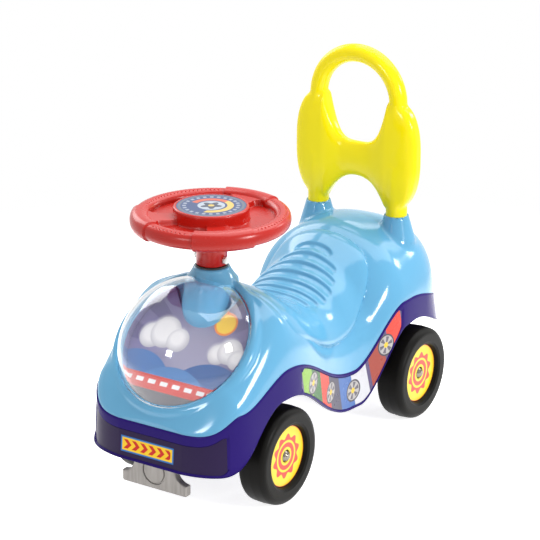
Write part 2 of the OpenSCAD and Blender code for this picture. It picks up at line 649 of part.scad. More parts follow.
upper_body();
lower_body();
dome_window();
dome_card();
steering_wheel();
hub_label();
column_rod();
column_bolt();
column_nut();
upper_bush();
lower_bush();
column_clip();
axle(-1);  // front_axle
axle(1);  // rear_axle
road_wheel(1, -1);  // front_left_wheel
road_wheel(-1, -1);  // front_right_wheel
road_wheel(1, 1);  // rear_left_wheel
road_wheel(-1, 1);  // rear_right_wheel
wheel_disc(1, -1);  // front_left_disc
wheel_disc(-1, -1);  // front_right_disc
wheel_disc(1, 1);  // rear_left_disc
wheel_disc(-1, 1);  // rear_right_disc
axle_caps(-1);  // front_axle_caps
axle_caps(1);  // rear_axle_caps
washers(-1);  // front_washers
washers(1);  // rear_washers
saddles(-1);  // front_saddles
saddles(1);  // rear_saddles
saddle_screws();
plough();
plough_screws();
push_handle();
body_screws();
left_label();
right_label();
bumper_label();
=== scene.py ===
import math

import bpy
import numpy as np
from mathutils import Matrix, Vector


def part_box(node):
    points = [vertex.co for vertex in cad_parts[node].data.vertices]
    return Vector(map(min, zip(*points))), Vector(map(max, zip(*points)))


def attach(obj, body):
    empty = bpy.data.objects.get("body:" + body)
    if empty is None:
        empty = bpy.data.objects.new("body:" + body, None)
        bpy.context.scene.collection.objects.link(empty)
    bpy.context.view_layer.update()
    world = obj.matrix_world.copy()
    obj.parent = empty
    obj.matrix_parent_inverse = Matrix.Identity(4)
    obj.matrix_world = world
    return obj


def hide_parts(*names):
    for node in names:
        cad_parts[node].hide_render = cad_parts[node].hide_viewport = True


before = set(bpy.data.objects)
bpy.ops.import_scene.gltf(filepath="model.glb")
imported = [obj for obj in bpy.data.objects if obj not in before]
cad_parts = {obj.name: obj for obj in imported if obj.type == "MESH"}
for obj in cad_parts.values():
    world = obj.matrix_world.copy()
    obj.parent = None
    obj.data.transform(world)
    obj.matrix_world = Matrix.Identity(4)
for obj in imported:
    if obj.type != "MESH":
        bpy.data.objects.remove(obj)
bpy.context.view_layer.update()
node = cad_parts

# Upper shell
# The sky-blue half of the body is one blow-moulded polyethylene shell: hood, seat with grip grooves, hump,
# collar of the steering column and two handle sockets. Screws through the deck hold it from below.
MM = 0.001
shell_low, shell_high = (np.array(corner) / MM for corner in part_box("upper_body"))
front_y, tail_y = shell_low[1], shell_high[1]
wheel_low, wheel_high = (np.array(corner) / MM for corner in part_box("front_left_wheel"))
axle_y = -(wheel_low[1] + wheel_high[1]) / 2
waist_y, seat_y, hump_y, crest_y = 24, -18, 115, -axle_y - 2
hood_h, seat_h, hump_h = 243, 190, 240
wall = 3
nose_round, nose_flat, nose_power, tail_round, tail_flat, tail_power = 60, 1.5, 3.2, 95, 1, 2
ridge_rise, hood_power, hump_power = 5, 1.1, 2.2
width_line = [(front_y, 94), (-axle_y, 103), (waist_y - 12, 80), (hump_y, 97), (tail_y, 88)]
seam_line = [(front_y, 111), (front_y + 34, 133), (crest_y - 2, 162), (waist_y, 97), (hump_y - 7, 159),
             (hump_y + 7, 159), (tail_y, 127)]
round_line = [(front_y + 12, 2), (crest_y, 2.6), (seat_y, 2.5), (waist_y - 4, 2.4), (hump_y - 55, 1.75),
              (hump_y, 1.85), (axle_y + 35, 2.4)]
dome_y, dome_z, dome_tilt = -axle_y - 55, 189, math.radians(45.4)
tilt_cos, tilt_sin = math.cos(dome_tilt), math.sin(dome_tilt)
dome_base_r, rim_w, rim_round, rim_proud, rim_depth = 79.6, 9, 7, 0.5, 19
card_depth, cup_wall, dome_ledge, card_ledge = 13, 6, 2.85, 4
collar_top, collar_r, collar_flare, column_bore_r = 259.8, 20, 15, 10
housing_r, housing_top, housing_lean, housing_drop = 29.5, 242, 7, 26
leg_x, handle_y, leg_r, socket_top = 54.4, axle_y + 12, 12.7, 244.5
socket_wall, socket_slope, socket_flare, socket_depth = 1.6, 0.29, 30, 44
shell_lap, fit_gap = 4, 0.25
pad_share, pad_half, pad_crease, crease_in, crease_out = 0.75, 100, 4.6, 9, 20
pad_front_y, pad_nose_y, pad_back_y, pad_rear_y = -140, -95, -74, 93
faint_share, faint_y, faint_run, groove_room, room_fade = 0.25, -105, 90, 12, 8
groove_count, groove_pitch, groove_reach, groove_mid_y, groove_depth = 9, 14, 52, 5, 2.3
groove_share, groove_rise, groove_wall, groove_corner, last_corner, groove_end = 0.46, 0.6, 0.16, 7, 0.62, 6


def ease(share):
    share = np.clip(share, 0, 1)
    return share * share * (3 - 2 * share)


def wave(steps, y):
    """A line that eases through steps of place and value."""
    line = np.full(np.shape(y), float(steps[0][1]))
    for (start, low), (end, high) in zip(steps, steps[1:]):
        line = np.where(y > start, low + (high - low) * ease((y - start) / (end - start)), line)
    return line


def fall(share, power):
    return np.maximum(0, 1 - np.clip(share, 0, 1) ** power) ** (1 / power)


def half_width(y):
    return (wave(width_line, y) * fall((front_y + nose_round - y) / (nose_round + nose_flat), nose_power)
            * fall((y - tail_y + tail_round) / (tail_round + tail_flat), tail_power))


def seam(y):
    return wave(seam_line, y)


def ridge(y):
    foot = seam(y) + ridge_rise
    nose = foot + (hood_h - foot) * fall((crest_y - y) / (crest_y - front_y), hood_power)
    tail = foot + (hump_h - foot) * fall((y - hump_y) / (tail_y - hump_y), hump_power)
    dip = wave([(crest_y, hood_h), (seat_y, seat_h), (hump_y, hump_h)], y)
    return np.where(y < crest_y, nose, np.where(y < hump_y, dip, tail))


def joined(first, second, blend):
    """Distance outside two forms that flow into each other."""
    near = np.maximum(blend - np.abs(first - second), 0) / blend
    return np.minimum(first, second) - near * near * blend / 4


def cut(form, tool, blend):
    """Distance outside a form with another taken out of it, over a rounded edge."""
    return -joined(-form, tool, blend)


def rounded(first, second, radius):
    """Distance outside a rounded corner between two faces."""
    first, second = first + radius, second + radius
    outside = np.hypot(np.maximum(first, 0), np.maximum(second, 0))
    return outside + np.minimum(np.maximum(first, second), 0) - radius


def seat_press(x, y, z):
    """How deep the pad's crease and the grip grooves go into the skin, and the room that they take."""
    rear = np.maximum(y - pad_back_y, 0) / (pad_rear_y - pad_back_y)
    front = np.maximum(pad_nose_y - y, 0) / (pad_nose_y - pad_front_y)
    up = np.maximum(z - seam(y), 0) / (ridge(y) - seam(y))
    down = np.arctan2(np.abs(x) / half_width(y), up) * 2 / np.pi
    rho = ((down / pad_share) ** 4 + rear ** 4 + front ** 4) ** 0.25
    within = np.clip((1 - rho) * pad_half / crease_in, 0, 1)
    beyond = np.clip((rho - 1) * pad_half / crease_out, 0, 1)
    crease = pad_crease * (faint_share + (1 - faint_share) * ease((y - faint_y) / faint_run))
    crease = crease * np.where(rho < 1, 1 - np.sqrt(1 - (1 - within) ** 2), (1 - beyond) ** 2)
    off = (y - groove_mid_y) / groove_pitch + (groove_count - 1) / 2
    index = np.clip(np.round(off), 0, groove_count - 1)
    middle = (index - (groove_count - 1) / 2) * groove_pitch
    reach = groove_reach * np.sqrt(1 - (middle / (groove_count * groove_pitch / 2 + 1)) ** 2)
    phase = off - index
    corner = np.where(index == groove_count - 1, last_corner * reach, groove_corner)
    reach = reach - corner * (1 - np.sqrt(1 - np.clip(phase / groove_share, 0, 1) ** 2))
    share = ease((phase + 0.5) / groove_rise) * np.clip((groove_share - phase) / groove_wall, 0, 1)
    end = 1 - (1 - np.clip((reach - np.abs(x)) / groove_end, 0, 1)) ** 2
    room = crease + groove_depth * ease((groove_reach + groove_room - np.abs(x)) / room_fade)
    return crease + groove_depth * share * end, room


def section(x, y, z):
    """Place across the body's section at y: 1 on the skin, less inside."""
    low, power = seam(y), wave(round_line, y)
    across, up = np.abs(x) / half_width(y), np.maximum(z - low, 0) / (ridge(y) - low)
    return (across ** power + up ** power) ** (1 / power)


def housing_distance(x, y, z):
    """Distance in millimetres outside the column's housing, which leans forward to a round end."""
    share = np.clip(((y + axle_y) * -housing_lean + (housing_top - z) * housing_drop)
                    / (housing_lean ** 2 + housing_drop ** 2), 0, 1)
    return np.sqrt(x ** 2 + (y + axle_y + housing_lean * share) ** 2
                   + (np.minimum(z, housing_top) - housing_top + housing_drop * share) ** 2) - housing_r


def shell_distance(x, y, z):
    """Distance in millimetres outside the blue shell."""
    ends = np.maximum(front_y - y, y - tail_y)
    y = np.clip(y, front_y, tail_y)
    low = seam(y)
    rho, nudge = section(x, y, z), 0.4
    slopes = [(section(x + a, y + b, z + c) - section(x - a, y - b, z - c)) / (2 * nudge)
              for a, b, c in ((nudge, 0, 0), (0, nudge, 0), (0, 0, nudge))]
    skin = (rho - 1) / np.maximum(np.sqrt(sum(s * s for s in slopes)), 2e-3)
    press, room = seat_press(x, y, z)
    inner = skin + wall + room
    body = skin + press
    along = (y - dome_y) * tilt_cos + (z - dome_z) * tilt_sin
    out = (z - dome_z) * tilt_cos - (y - dome_y) * tilt_sin
    reach = np.hypot(x, along)
    ring = rounded(reach - dome_base_r - rim_w, out - rim_proud, rim_round)
    ring = np.maximum(ring, np.maximum(dome_base_r - 1 - reach, -rim_depth - out))
    body = joined(body, ring, 2)
    hollow = cut(body, np.maximum(inner, ends + wall), 0.5)
    cup = np.maximum(np.maximum(reach - dome_base_r - cup_wall, -out - card_depth - wall), out)
    hollow = np.minimum(hollow, np.maximum(cup, body))
    seat_of_dome = np.maximum(reach - dome_base_r - fit_gap, -out - dome_ledge)
    well = np.maximum(reach - dome_base_r + card_ledge, -out - card_depth)
    form = cut(hollow, np.minimum(seat_of_dome, well), 1)
    column = np.hypot(x, y + axle_y)
    rise_in = np.clip((z - collar_top + collar_flare) / collar_flare, 0, 1)
    collar = collar_r + (housing_r - collar_r) * (1 - rise_in) ** 1.3
    housing = cut(housing_distance(x, y, z) + housing_r - collar, collar_top - z, 1.2)
    form = joined(form, housing, 3)
    leg = np.hypot(np.abs(x) - leg_x, y - handle_y)
    flare = leg_r + socket_wall + socket_slope * np.clip(socket_top - z, 0, socket_flare)
    socket = np.maximum(cut(leg - flare, socket_top - z, 0.8), socket_top - socket_depth - z)
    form = joined(form, socket, 4)
    form = cut(form, np.minimum(column - column_bore_r, leg - leg_r - fit_gap), 0.6)
    return np.maximum(form, np.maximum(low - shell_lap - z, ends))


def skin_of(distance, low, high, step):
    """Corners and quads along the surface where a distance is nought, with each corner moved onto it."""
    lines = [np.arange(a, b + step, step) for a, b in zip(low, high)]
    field = distance(lines[0][:, None, None], lines[1][None, :, None], lines[2][None, None, :])
    inside = field < 0
    size = np.array(field.shape) - 1
    corner = [(a, b, c) for a in (0, 1) for b in (0, 1) for c in (0, 1)]
    count = sum(inside[tuple(slice(o, o + n) for o, n in zip(k, size))].astype(np.int8) for k in corner)
    cells = np.nonzero((count > 0) & (count < 8))
    value = {k: field[tuple(i + o for i, o in zip(cells, k))] for k in corner}
    place, hits = np.zeros((len(cells[0]), 3)), np.zeros(len(cells[0]))
    for k in corner:
        for axis in range(3):
            if k[axis] == 0:
                end = tuple(1 if i == axis else o for i, o in enumerate(k))
                cross = (value[k] < 0) != (value[end] < 0)
                share = np.where(cross, value[k] / np.where(cross, value[k] - value[end], 1), 0)
                place += cross[:, None] * (np.array(k, float) + share[:, None] * np.eye(3)[axis])
                hits += cross
    place = (place / hits[:, None] + np.stack(cells, 1)) * step + np.array(low)
    number = np.full(size, -1, np.int32)
    number[cells] = np.arange(len(cells[0]))
    quads = []
    for axis in range(3):
        first = [slice(1, n) for n in size]
        first[axis] = slice(0, size[axis])
        later = list(first)
        later[axis] = slice(1, size[axis] + 1)
        start, stop = inside[tuple(first)], inside[tuple(later)]
        edge = np.stack(np.nonzero(start != stop), 1) + np.array([0 if i == axis else 1 for i in range(3)])
        b, c = np.eye(3, dtype=int)[(axis + 1) % 3], np.eye(3, dtype=int)[(axis + 2) % 3]
        quad = np.stack([number[tuple(cell.T)] for cell in (edge - b - c, edge - c, edge, edge - b)], 1)
        quads.append(np.where(start[start != stop][:, None], quad, quad[:, ::-1]))
    reach, stride = 0.15, 0.6
    for _ in range(3):
        off = np.clip(distance(*place.T), -stride, stride)
        slope = np.stack([distance(*(place + reach * e).T) - distance(*(place - reach * e).T)
                          for e in np.eye(3)], 1)
        slope /= 2 * reach
        place = place - off[:, None] * slope / np.maximum((slope ** 2).sum(1), 0.3)[:, None]
    return place, np.concatenate(quads)


def add_object(name, data):
    made = bpy.data.objects.new(name, data)
    bpy.context.scene.collection.objects.link(made)
    return made


def make_piece(name, corners, faces, material, sharp=40):
    """A mesh piece from corners in millimetres."""
    mesh = bpy.data.meshes.new(name)
    mesh.from_pydata(np.asarray(corners) * MM, [], faces)
    mesh.update()
    mesh.shade_smooth()
    mesh.set_sharp_from_angle(angle=math.radians(sharp))
    mesh.materials.append(material)
    return add_object(name, mesh)


def tone(red, green, blue):
    """A screen colour as the linear values that a shader takes."""
    screen = (c / 255 for c in (red, green, blue))
    return tuple(((c + 0.055) / 1.055) ** 2.4 if c > 0.04 else c / 12.92 for c in screen) + (1.0,)


def add_node(tree, kind, inputs=None, **settings):
    """A node with its settings, and each input given as a value or wired from a socket."""
    made = tree.nodes.new(kind)
    for name, value in settings.items():
        setattr(made, name, value)
    for name, value in (inputs or {}).items():
        if isinstance(value, bpy.types.NodeSocket):
            tree.links.new(value, made.inputs[name])
        else:
            made.inputs[name].default_value = value
    return made


def calc(operation, *values):
    """A sum of values and sockets, in the tree of its first socket."""
    tree = next(value for value in values if isinstance(value, bpy.types.NodeSocket)).id_data
    return add_node(tree, "ShaderNodeMath", dict(enumerate(values)), operation=operation).outputs[0]


def blended(share, first, second):
    values = {0: share, 6: first, 7: second}
    return add_node(share.id_data, "ShaderNodeMix", values, data_type="RGBA").outputs[2]


def place_on(tree):
    return tree.nodes.new("ShaderNodeTexCoord").outputs["Object"]


def stretched(place, scale, turn=(0.0, 0.0, 0.0)):
    values = {"Vector": place, "Scale": scale, "Rotation": turn}
    return add_node(place.id_data, "ShaderNodeMapping", values).outputs[0]


def noise(place, scale, detail):
    values = {"Vector": place, "Scale": scale, "Detail": detail}
    return add_node(place.id_data, "ShaderNodeTexNoise", values).outputs[0]


def swing(value, middle, size):
    """How far a value lies from a middle one, times a size."""
    return calc("MULTIPLY", calc("SUBTRACT", value, middle), size)


def shaded(colour, value):
    """A colour made lighter or darker by a value."""
    return add_node(colour.id_data, "ShaderNodeHueSaturation", {"Color": colour, "Value": value}).outputs[0]


def new_face(name, *values):
    """A node group that makes a surface's colour, roughness and height from a colour and some values."""
    group = bpy.data.node_groups.new(name, "ShaderNodeTree")
    for way, labels in (("INPUT", ("Colour",) + values), ("OUTPUT", ("Colour", "Roughness", "Height"))):
        for label in labels:
            kind = "NodeSocketColor" if label == "Colour" else "NodeSocketFloat"
            group.interface.new_socket(label, in_out=way, socket_type=kind)
    return group, group.nodes.new("NodeGroupInput").outputs


def end_face(group, colour, rough, height):
    add_node(group, "NodeGroupOutput", {"Colour": colour, "Roughness": rough, "Height": height})


# Moulded face: colour that drifts a little over the piece, gloss with faint handling marks, and a fine grain
moulded_face, given = new_face("moulded_face", "Drift", "Gloss", "Grain")
place = place_on(moulded_face)
broad, cloudy = noise(place, 9.0, 2.0), noise(place, 70.0, 3.0)
marks = noise(stretched(place, (30.0, 260.0, 420.0), (0.5, 0.3, 0.9)), 1.0, 1.0)
marks = calc("MAXIMUM", calc("SUBTRACT", marks, 0.66), 0.0)
rough = calc("ADD", given["Gloss"], swing(cloudy, 0.5, 0.06))
rough = calc("ADD", rough, calc("MULTIPLY", marks, 0.5))
light = calc("ADD", 1.0, swing(broad, 0.5, given["Drift"]))
end_face(moulded_face, shaded(given["Colour"], light), rough, noise(place, given["Grain"], 2.0))


def new_material(name, **shader_values):
    """A material with one Principled shader, whose plain values are set on its own sockets."""
    material = bpy.data.materials.new(name)
    material.use_nodes = True
    shader = material.node_tree.nodes["Principled BSDF"]
    for label, value in shader_values.items():
        shader.inputs[label.replace("_", " ")].default_value = value
    return material, material.node_tree, shader


def wire(made, **sockets):
    """Wires sockets into a node's inputs."""
    for label, socket in sockets.items():
        made.id_data.links.new(socket, made.inputs[label.replace("_", " ")])


def bumped(height, strength, distance):
    values = {"Height": height, "Strength": strength, "Distance": distance}
    return add_node(height.id_data, "ShaderNodeBump", values).outputs[0]


def wire_face(shader, group, values, strength, distance):
    """Runs a surface group into a shader, with the group's height as a bump."""
    face = add_node(shader.id_data, "ShaderNodeGroup", values, node_tree=group).outputs
    wire(shader, Base_Color=face["Colour"], Roughness=face["Roughness"],
         Normal=bumped(face["Height"], strength, distance))


def moulded(name, colour, gloss=0.26, drift=0.08, grain=900.0, depth=0.04, **shader_values):
    """Moulded plastic of one colour."""
    material, _, shader = new_material(name, **shader_values)
    values = {"Colour": colour, "Drift": drift, "Gloss": gloss, "Grain": grain}
    wire_face(shader, moulded_face, values, depth, 0.0004)
    return material


sky_blue = moulded("sky_blue_plastic", tone(93, 164, 203), gloss=0.13, drift=0.05, grain=700.0, IOR=1.5)
shell_reach, shell_foot, shell_step, air = 107, 88, 1.45, 4
corners, quads = skin_of(shell_distance, (-shell_reach, front_y - air, shell_foot),
                         (shell_reach, tail_y + air, collar_top + air), shell_step)
upper_shell = make_piece("upper_shell", corners, quads, sky_blue, sharp=55)
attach(upper_shell, "chassis")
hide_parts("upper_body")

# Lower shell
# The purple skirt with the bumper, the wheel arches and the tail lip is moulded with the deck that carries
# the axles. A bead runs along both edges, and shallow panels are sunk in its sides and its front for labels.
tail_lip, lip_start, nose_draft, draft_run = 8, 25, 4, 20
skirt_proud, seam_gap, mirror = 1.5, 0.3, np.array([-1, 1, 1])
panel_depth, panel_corner, panel_edge, panel_end, panel_flare = 1.4, 11, 1, 1.6, 0.62
skirt_line = [(front_y + 14, 66), (crest_y - 13, 127), (crest_y - 3, 127), (waist_y - 4, 49.5),
              (waist_y + 10, 49.5), (axle_y - 31, 127), (axle_y - 13, 128), (tail_y, 86)]
bead_low_line = [(front_y + 30, 1.6), (front_y + 45, 2.4)]
bead_high_line = [(front_y, 11), (front_y + 30, 8), (front_y + 45, 3.4)]
bumper_back_y, strip_front_y, strip_back_y = front_y + 21, -123, 103
panel_ends_y = [(None, bumper_back_y), (strip_front_y, strip_back_y)]
deck_line = [(front_y + 1, 92), (front_y + 53, 92), (front_y + 56, 128), (crest_y + 68, 128), (-36, 104),
             (2, 82), (56, 82), (84, 128), (axle_y + 67, 128), (axle_y + 84, 104), (tail_y - 1, 104)]
nose_count, side_count, tail_count, deck_count, deck_inset = 29, 301, 8, 9, 1.5

nose_x, end_x = half_width(np.array([front_y, tail_y]))
turn = np.linspace(0, np.pi, side_count)
side_y = front_y + (tail_y - front_y) * (1 - np.cos(turn)) / 2
edge_x = np.concatenate([np.linspace(0, nose_x, nose_count + 1)[:-1], half_width(side_y),
                         np.linspace(end_x, 0, tail_count + 1)[1:]])
edge_y = np.concatenate([np.full(nose_count, front_y), side_y, np.full(tail_count, tail_y)])
run = np.concatenate([[0], np.cumsum(np.hypot(np.diff(edge_x), np.diff(edge_y)))])
slope_x, slope_y = np.gradient(edge_x, run), np.gradient(edge_y, run)
length = np.hypot(slope_x, slope_y)
normal_x, normal_y = slope_y / length, -slope_x / length
bottom = wave(skirt_line, edge_y)
top = seam(edge_y) - seam_gap
flare = tail_lip * ease((edge_y - tail_y + tail_round) / (tail_round - lip_start))
flare += nose_draft * ease((front_y + draft_run - edge_y) / nose_round + 1)


def run_at(y):
    """How far round the plan a place on the side lies."""
    return np.interp(y, edge_y[nose_count:], run[nose_count:])


def panel_inset(corner):
    """How far a panel's top and bottom draw in towards its rounded ends, and where there is a panel."""
    inset, present = np.zeros(run.shape), np.zeros(run.shape)
    for start_y, end_y in panel_ends_y:
        start = -math.inf if start_y is None else run_at(start_y)
        near = np.minimum(run - start, run_at(end_y) - run)
        here = near > 0
        present = np.where(here, ease(near / panel_end), present)
        bend = np.clip(corner - near, 0, corner)
        inset = np.where(here, corner - np.sqrt(corner ** 2 - bend ** 2), inset)
    return inset, present


inset, present = panel_inset(panel_corner)
sunk = panel_depth * present
bead_low, bead_high = wave(bead_low_line, edge_y), wave(bead_high_line, edge_y)
low_in, high_in = bottom + bead_low + inset, top - bead_high - inset
span = high_in - low_in
skirt_rows = [(flare - wall, bottom), (flare + 0.3, bottom), (flare + 1.1, bottom + 0.3),
              (flare + skirt_proud, bottom + 1), (0.75 * flare + skirt_proud, bottom + bead_low * 0.75),
              (0.7 * flare + skirt_proud, low_in), (0.68 * flare + skirt_proud - 0.25 * sunk, low_in + 0.25),
              (0.66 * flare + skirt_proud - 0.85 * sunk, low_in + 0.7),
              (0.64 * flare + skirt_proud - sunk, low_in + panel_edge)]
skirt_rows += [(panel_flare * flare * (1 - s) + skirt_proud - sunk,
                low_in + panel_edge + (span - 2 * panel_edge) * s) for s in (0.2, 0.4, 0.6, 0.8, 1.0)]
skirt_rows += [(skirt_proud - 0.85 * sunk, high_in - 0.7), (skirt_proud - 0.25 * sunk, high_in - 0.25),
               (skirt_proud + 0 * run, high_in)]
skirt_rows += [(out + 0 * run, top - down) for out, down in (
    (skirt_proud, 2.2), (1.35, 1.2), (0.95, 0.4), (0.4, 0), (0.04, 0), (0.04, 5), (-wall, 5.5))]


def off_plan(out, height, chosen=slice(None)):
    """Places at a distance out of the body's plan and at a height, for chosen places round the plan."""
    return np.stack([edge_x[chosen, None] + out * normal_x[chosen, None],
                     edge_y[chosen, None] + out * normal_y[chosen, None], height], 2)


def tube_faces(rings, points):
    """Quads of a closed band of rings, each of which is closed too."""
    i, j = np.meshgrid(np.arange(rings), np.arange(points), indexing="ij")
    a, b = i * points + j, i * points + (j + 1) % points
    c, d = (i + 1) % rings * points + (j + 1) % points, (i + 1) % rings * points + j
    return np.stack([a, d, c, b], 2).reshape(-1, 4)


def sheet_faces(rows, cols):
    """Quads of a thin sheet made of two grids of corners, the second over the first, and of its border."""
    grid = np.arange(rows * cols).reshape(rows, cols)
    sheet = np.stack([grid[:-1, :-1], grid[1:, :-1], grid[1:, 1:], grid[:-1, 1:]], 2).reshape(-1, 4)
    edge = np.concatenate([grid[0], grid[1:, -1], grid[-1, -2::-1], grid[-2:0:-1, 0]])
    border = np.stack([edge, np.roll(edge, -1), np.roll(edge, -1) + rows * cols, edge + rows * cols], 1)
    return np.concatenate([sheet, sheet[:, ::-1] + rows * cols, border])


def across_deck(line):
    """A deck face: its line drawn finely and spread from one skirt wall to the other."""
    parts = [np.linspace(a, b, deck_count)[:-1] for a, b in zip(line[:-1, 0], line[1:, 0])]
    fine_y = np.concatenate(parts + [line[-1:, 0]])
    fine_z = np.interp(fine_y, line[:, 0], line[:, 1])
    reach = half_width(fine_y) - deck_inset
    return np.stack([reach[:, None] * np.linspace(-1, 1, deck_count),
                     np.repeat(fine_y[:, None], deck_count, 1), np.repeat(fine_z[:, None], deck_count, 1)], 2)


left = off_plan(*(np.stack(part, 1) for part in zip(*skirt_rows)))
left[0, :, 0] = left[-1, :, 0] = 0
skirt = np.concatenate([left, left[-2:0:-1] * mirror])
skirt_faces = tube_faces(*skirt.shape[:2])
path = np.array(deck_line, float)
step = np.diff(path, axis=0)
unit = np.stack([-step[:, 1], step[:, 0]], 1) / np.hypot(step[:, 0], step[:, 1])[:, None]
before, after = np.concatenate([unit[:1], unit]), np.concatenate([unit, unit[-1:]])
lifted = path + wall * (before + after) / (1 + (before * after).sum(1))[:, None]
under, over = across_deck(path), across_deck(lifted)
deck_faces = sheet_faces(*under.shape[:2])
purple = moulded("purple_plastic", tone(42, 26, 105), gloss=0.2, drift=0.1, grain=700.0,
                 Specular_IOR_Level=0.05)
lower_shell = make_piece(
    "lower_shell", np.concatenate([skirt.reshape(-1, 3), under.reshape(-1, 3), over.reshape(-1, 3)]),
    np.concatenate([skirt_faces, deck_faces + skirt.shape[0] * skirt.shape[1]]), purple, sharp=38)
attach(lower_shell, "chassis")
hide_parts("lower_body")

# Printed strips
# Thin printed film labels lie in the sunk panels: one along each side and a plain dark one round the bumper
# with a small plate. They are glued on, so each follows its panel half a millimetre proud.
film_t, film_back, film_gap, film_count = 0.45, 0.04, 0.3, 13
film_inset, _ = panel_inset(panel_corner - panel_edge)
film_low = bottom + bead_low + panel_edge + film_gap + film_inset
film_high = top - bead_high - panel_edge - film_gap - film_inset
film_middle = (film_low + film_high) / 2


def film(name, keep, sides, material, cad_node):
    """A strip in a panel, with UVs in metres along and up the strip."""
    chosen = np.nonzero(keep)[0]
    height = film_low[chosen, None] + (film_high - film_low)[chosen, None] * np.linspace(0, 1, film_count)
    rise = (height - low_in[chosen, None] - panel_edge) / (span[chosen, None] - 2 * panel_edge)
    lean = panel_flare * flare[chosen, None] * (1 - rise)
    back, front = (off_plan(lean + skirt_proud - panel_depth + gap, height, chosen)
                   for gap in (film_back, film_t))
    flat = np.stack([np.repeat(run[chosen, None], film_count, 1), height], 2)
    parts = []
    for left, way in ((back, mirror), (front, mirror), (flat, mirror[:2])):
        right = left[::-1] * way
        parts.append({"left": left, "right": right, "both": np.concatenate([right[:-1], left])}[sides])
    back, front, flat = parts
    corners = np.concatenate([back.reshape(-1, 3), front.reshape(-1, 3)])
    piece = make_piece(name, corners, sheet_faces(*front.shape[:2])[:, ::-1], material, sharp=50)
    layer = piece.data.uv_layers.new(name="strip")
    flat = np.tile(flat.reshape(-1, 2), (2, 1)) * MM
    index = np.zeros(len(piece.data.loops), np.int32)
    piece.data.loops.foreach_get("vertex_index", index)
    layer.data.foreach_set("uv", flat[index].astype(np.float32).ravel())
    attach(piece, "chassis")
    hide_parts(cad_node)


def apart(first, second):
    return calc("ABSOLUTE", calc("SUBTRACT", first, second))


def filled(room, soft=0.25):
    """A mask of the places whose room, the distance in from an edge, is above nought."""
    values = {0: room, 1: -soft, 2: soft}
    return add_node(room.id_data, "ShaderNodeMapRange", values, clamp=True).outputs[0]


def stripes(along, pitch, share):
    """A mask of bands that repeat along a value."""
    phase = calc("FRACT", calc("DIVIDE", along, pitch))
    return filled(calc("SUBTRACT", share / 2, apart(phase, 0.5)), 0.02)


def common(first, *others):
    """A mask of the places that all the masks share."""
    for other in others:
        first = calc("MULTIPLY", first, other)
    return first


class Artwork:
    """Flat screen colours laid one over another on a printed face, by places in millimetres on it."""

    def __init__(self, across, up, *base):
        self.across, self.up, self.colour = across, up, tone(*base)

    def off(self, across, up):
        return calc("SUBTRACT", self.across, across), calc("SUBTRACT", self.up, up)

    def radius(self, across, up):
        a, b = self.off(across, up)
        return calc("SQRT", calc("ADD", calc("MULTIPLY", a, a), calc("MULTIPLY", b, b)))

    def wave(self, across, up, count):
        """A wave that swings so many times round a middle place."""
        a, b = self.off(across, up)
        return calc("SINE", calc("MULTIPLY", calc("ARCTAN2", b, a), float(count)))

    def disc(self, across, up, radius, soft=0.25):
        return filled(calc("SUBTRACT", radius, self.radius(across, up)), soft)

    def ring(self, across, up, radius, width):
        return filled(calc("SUBTRACT", width / 2, apart(self.radius(across, up), radius)))

    def slab(self, across, up, width, height):
        """A rectangle about a middle place."""
        return filled(calc("MINIMUM", calc("SUBTRACT", width / 2, apart(self.across, across)),
                           calc("SUBTRACT", height / 2, apart(self.up, up))))

    def petals(self, across, up, radius, depth, count):
        """A flower or cog outline whose edge swings in and out."""
        edge = calc("MULTIPLY_ADD", self.wave(across, up, count), depth, radius)
        return filled(calc("SUBTRACT", edge, self.radius(across, up)))

    def rays(self, across, up, count):
        return filled(self.wave(across, up, count), 0.06)

    def lay(self, mask, *colour):
        """Lays a screen colour over the places of a mask."""
        self.colour = blended(mask, self.colour, tone(*colour))


# Printed film: faint dots of the print screen, and gloss that varies as on a laminated label
printed_film, given = new_face("printed_film", "Gloss")
place = place_on(printed_film)
dots = add_node(printed_film, "ShaderNodeTexVoronoi", {"Vector": place, "Scale": 1500.0}).outputs["Distance"]
tint = calc("MULTIPLY_ADD", dots, 0.07, 0.965)
haze = noise(place, 60.0, 2.0)
rough = calc("ADD", given["Gloss"], swing(haze, 0.5, 0.12))
end_face(printed_film, shaded(given["Colour"], tint), rough, haze)


def finish_print(art, shader, gloss):
    """Runs the finished artwork through the film's print and gloss."""
    wire_face(shader, printed_film, {"Colour": art.colour, "Gloss": gloss}, 0.05, 0.0005)


def on_strip(tree):
    """Places in millimetres along and up a strip, from its UVs."""
    uv = add_node(tree, "ShaderNodeUVMap", uv_map="strip").outputs[0]
    parts = add_node(tree, "ShaderNodeSeparateXYZ", {0: uv})
    return calc("DIVIDE", parts.outputs[0], MM), calc("DIVIDE", parts.outputs[1], MM)


